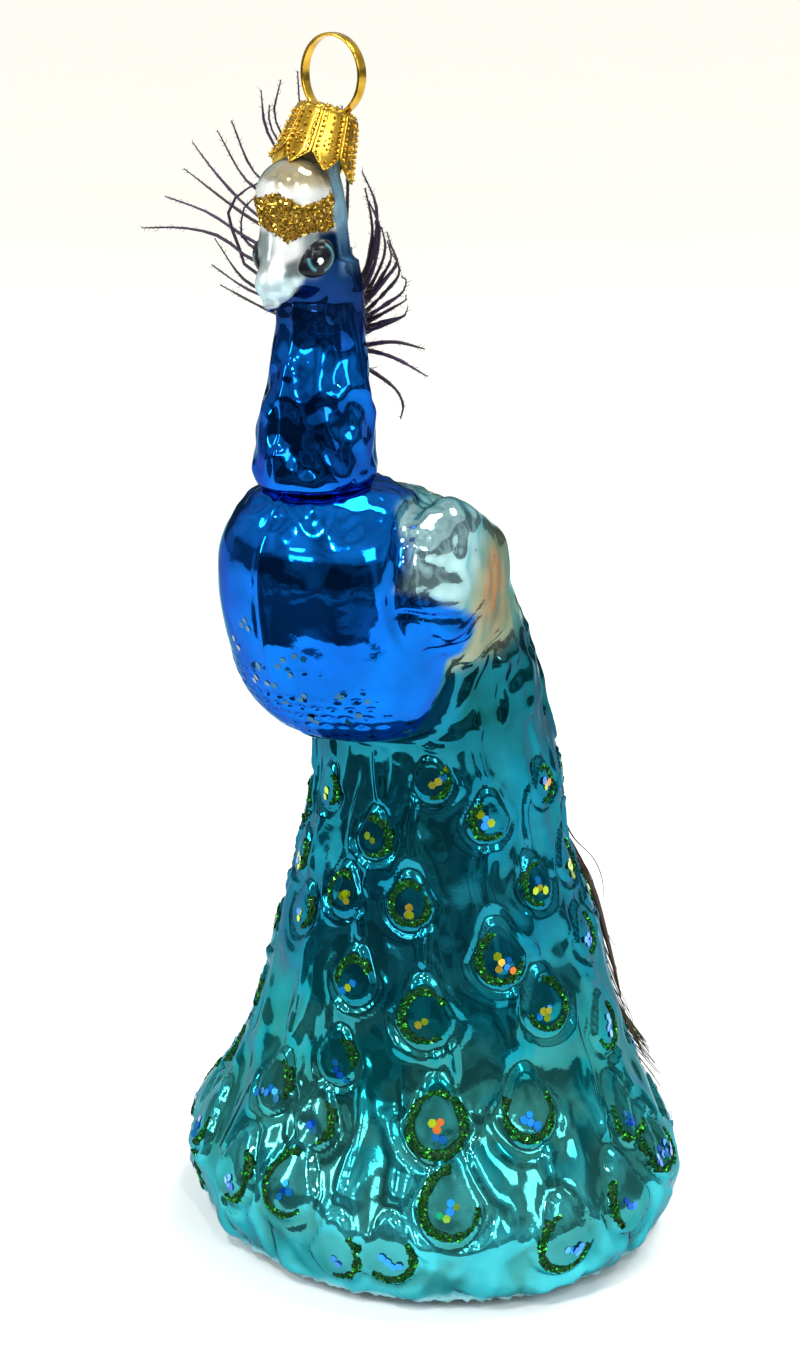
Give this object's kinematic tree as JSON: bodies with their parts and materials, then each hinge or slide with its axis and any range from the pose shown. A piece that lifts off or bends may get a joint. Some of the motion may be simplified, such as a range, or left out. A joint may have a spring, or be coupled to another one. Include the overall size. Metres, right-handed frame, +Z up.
{
  "type": "blown-glass peacock ornament",
  "caption": "Blown-glass peacock Christmas ornament that stands on its flared train, with a gilt metal cap, a flat hanging ring and real feathers glued on as crest and tail.",
  "frame": {"origin": "centre of the flat underside of the train, on the surface that the ornament stands on", "axes": "+Z up towards the hanging ring; the bird looks along -Y and its left side is +X"},
  "size_m": [0.0797, 0.0778, 0.1831],
  "materials": {
    "train_glass": "silvered glass under translucent teal lacquer, turquoise at the hem, high gloss",
    "cobalt_glass": "silvered glass under translucent cobalt lacquer, mirror gloss",
    "shoulder_glass": "silvered glass, pale champagne with a copper blush, satin to gloss",
    "pearl_glass": "silvered glass under pearl white paint, satin gloss",
    "eye_paint": "gloss black enamel with a pale ring and a white glint",
    "gilt_metal": "bright gold-coloured stamped metal",
    "crest_feather": "dark violet-brown natural feather barbs",
    "tail_feather": "natural eyed peafowl feather, iridescent green, bronze and blue"
  },
  "bodies": {
    "root": {"train": "train_glass", "back": "shoulder_glass", "breast": "cobalt_glass", "wing_left": "shoulder_glass", "wing_right": "shoulder_glass", "neck": "cobalt_glass", "stem": "shoulder_glass", "head": "pearl_glass", "beak": "pearl_glass", "eye_left": "eye_paint", "eye_right": "eye_paint", "cap": "gilt_metal", "hanger_ring": "gilt_metal", "crest_feather": "crest_feather", "tail_feather": "tail_feather"}
  },
  "joints": []
}
